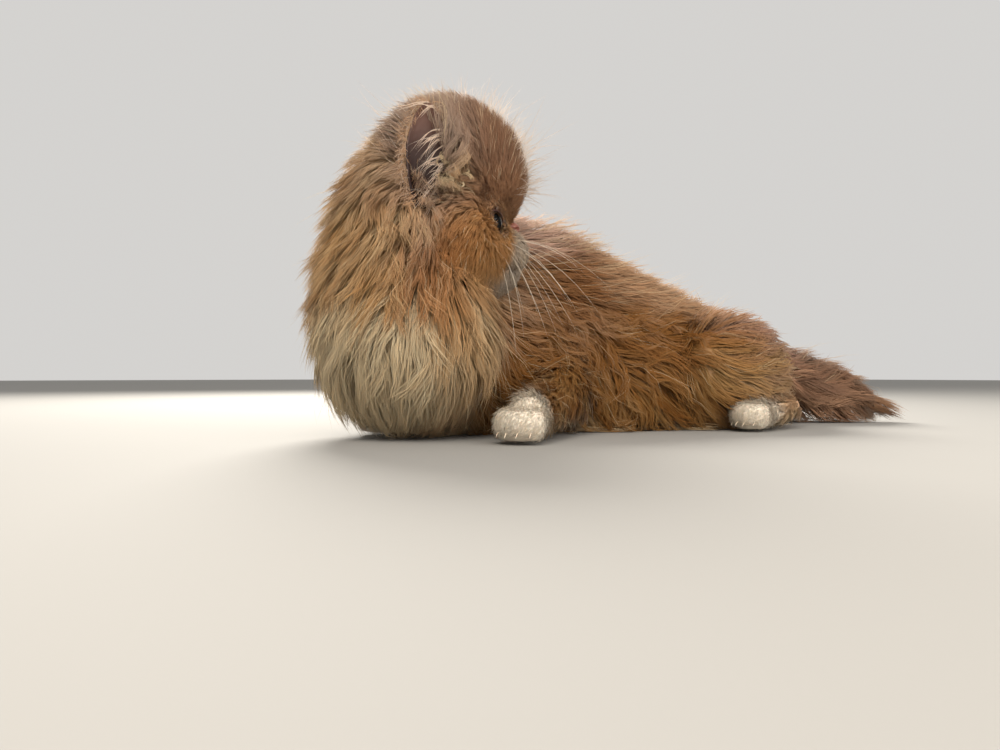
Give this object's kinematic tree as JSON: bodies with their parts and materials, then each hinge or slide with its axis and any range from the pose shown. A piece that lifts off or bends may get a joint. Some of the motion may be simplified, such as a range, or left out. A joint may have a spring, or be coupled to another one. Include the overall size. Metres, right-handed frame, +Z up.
{
  "type": "longhaired cat figure",
  "caption": "Life-size young longhaired cat lying with its front raised and its head turned back over its left flank.",
  "frame": {"origin": "middle of the small flat on the underside of the belly, where the cat lies on the floor", "axes": "+Z up; +X towards the rump and tail; the chest lies towards -X, and the cat's left flank faces -Y"},
  "size_m": [0.4696, 0.201, 0.2174],
  "materials": {
    "ginger_fur": "long soft fur",
    "cream_fur": "long soft fur",
    "dusky_fur": "long soft fur",
    "white_fur": "short soft fur",
    "ear_skin": "bare skin with a few hairs",
    "nose_skin": "moist bare skin",
    "eye": "wet and glossy"
  },
  "bodies": {
    "root": {"head": "ginger_fur", "neck": "cream_fur", "torso": "ginger_fur", "tail": "dusky_fur", "leg_hind_left": "ginger_fur", "leg_hind_right": "ginger_fur", "leg_fore_left": "white_fur", "leg_fore_right": "white_fur", "ear_left": "ear_skin", "ear_right": "ear_skin", "eye_left": "eye", "eye_right": "eye", "nose": "nose_skin"}
  },
  "joints": []
}
